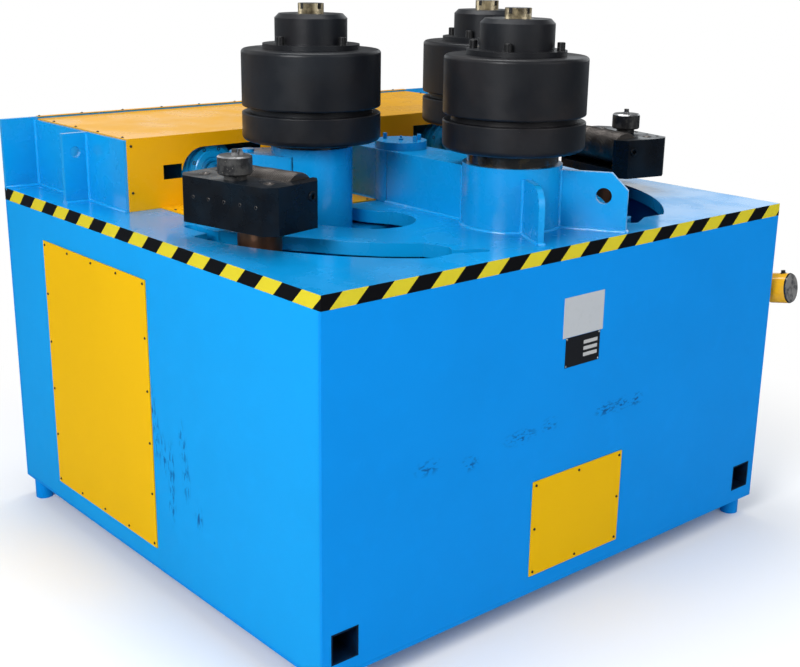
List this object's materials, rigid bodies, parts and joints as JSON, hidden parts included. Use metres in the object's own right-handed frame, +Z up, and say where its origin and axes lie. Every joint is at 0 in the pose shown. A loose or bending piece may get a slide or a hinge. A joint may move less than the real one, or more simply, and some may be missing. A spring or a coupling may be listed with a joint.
{
  "type": "profile bending machine",
  "caption": "Horizontal roll bending machine: a steel cabinet with a slotted table, a fixed front roll and two swinging side rolls pushed by cylinders from under a rear cover.",
  "frame": {"origin": "middle of the whole outline, on the floor under the feet", "axes": "+X to the right along the front face, +Y towards the rear cover, +Z up"},
  "size_m": [2.2596, 1.9822, 1.93],
  "materials": {
    "blue_paint": "gloss blue paint",
    "yellow_paint": "yellow paint",
    "black_paint": "black paint",
    "rusty_steel": "turned steel with rust",
    "foot_steel": "dark pads",
    "spindle_steel": "greasy threaded steel",
    "blackened_steel": "blackened, satin",
    "nut_steel": "blackened, satin",
    "shaft_steel": "turned, oily",
    "guide_roller_steel": "knurled steel",
    "rod_chrome": "polished"
  },
  "bodies": {
    "frame": {"feet": "foot_steel", "floor_plate": "blue_paint", "wall_front": "blue_paint", "wall_rear": "blue_paint", "wall_left": "blue_paint", "wall_right": "blue_paint", "fork_tubes": "blue_paint", "table_plate": "blue_paint", "panel_left": "yellow_paint", "panel_right": "yellow_paint", "panel_front": "yellow_paint", "pivot_post": "blue_paint", "centre_spine": "blue_paint", "rear_spine": "blue_paint", "centre_housing": "blue_paint", "centre_rib": "blue_paint", "front_lug": "blue_paint", "rear_plate": "blue_paint", "side_plates": "blue_paint", "rear_lugs": "blue_paint", "rear_cover": "yellow_paint", "table_covers": "yellow_paint", "drive_cylinders": "black_paint", "cylinder_cradles": "black_paint", "side_bar": "black_paint", "side_bar_bracket": "black_paint"},
    "arm_left": {"swing_arm_left": "blue_paint", "roll_housing_left": "blue_paint", "clevis_left": "blue_paint", "guide_post_left": "rusty_steel", "guide_block_left": "black_paint", "guide_spindle_left": "spindle_steel"},
    "arm_right": {"swing_arm_right": "blue_paint", "roll_housing_right": "blue_paint", "clevis_right": "blue_paint", "guide_post_right": "rusty_steel", "guide_block_right": "black_paint", "guide_spindle_right": "spindle_steel"},
    "roll_left": {"roll_shaft_left": "shaft_steel", "lower_ring_left": "blackened_steel", "upper_ring_left": "blackened_steel", "clamp_nut_left": "nut_steel"},
    "roll_right": {"roll_shaft_right": "shaft_steel", "lower_ring_right": "blackened_steel", "upper_ring_right": "blackened_steel", "clamp_nut_right": "nut_steel"},
    "roll_centre": {"roll_shaft_centre": "shaft_steel", "lower_ring_centre": "blackened_steel", "upper_ring_centre": "blackened_steel", "clamp_nut_centre": "nut_steel"},
    "guide_roller_left": {"guide_roller_left": "guide_roller_steel"},
    "rod_left": {"drive_rod_left": "rod_chrome"},
    "guide_roller_right": {"guide_roller_right": "guide_roller_steel"},
    "rod_right": {"drive_rod_right": "rod_chrome"}
  },
  "joints": [
    {"name": "arm_swing_left", "type": "hinge", "parent": "frame", "child": "arm_left", "pos_m": [-0.07474, -0.04788, 1.156], "axis": [0, 0, 1], "range_deg": [0, 33]},
    {"name": "roll_spin_left", "type": "hinge", "parent": "arm_left", "child": "roll_left", "pos_m": [-0.47977, -0.05565, 1.476], "axis": [0, 0, 1], "continuous": true},
    {"name": "guide_roller_spin_left", "type": "hinge", "parent": "arm_left", "child": "guide_roller_left", "pos_m": [-0.9756, -0.33944, 1.446], "axis": [0, 0, 1], "continuous": true},
    {"name": "rod_slide_left", "type": "slide", "parent": "frame", "child": "rod_left", "axis": [0, -1, 0], "range_m": [0, 0.331]},
    {"name": "arm_swing_right", "type": "hinge", "parent": "frame", "child": "arm_right", "pos_m": [-0.07474, -0.04788, 1.156], "axis": [0, 0, -1], "range_deg": [0, 33]},
    {"name": "roll_spin_right", "type": "hinge", "parent": "arm_right", "child": "roll_right", "pos_m": [0.33028, -0.05565, 1.476], "axis": [0, 0, 1], "continuous": true},
    {"name": "guide_roller_spin_right", "type": "hinge", "parent": "arm_right", "child": "guide_roller_right", "pos_m": [0.82611, -0.33944, 1.446], "axis": [0, 0, 1], "continuous": true},
    {"name": "rod_slide_right", "type": "slide", "parent": "frame", "child": "rod_right", "axis": [0, -1, 0], "range_m": [0, 0.331]},
    {"name": "roll_spin_centre", "type": "hinge", "parent": "frame", "child": "roll_centre", "pos_m": [-0.07474, -0.60788, 1.476], "axis": [0, 0, 1], "continuous": true}
  ],
  "couplings": [
    {"joint": "rod_slide_left", "follows": "arm_swing_left", "m_per_rad": 0.57383},
    {"joint": "rod_slide_right", "follows": "arm_swing_right", "m_per_rad": 0.57383}
  ]
}
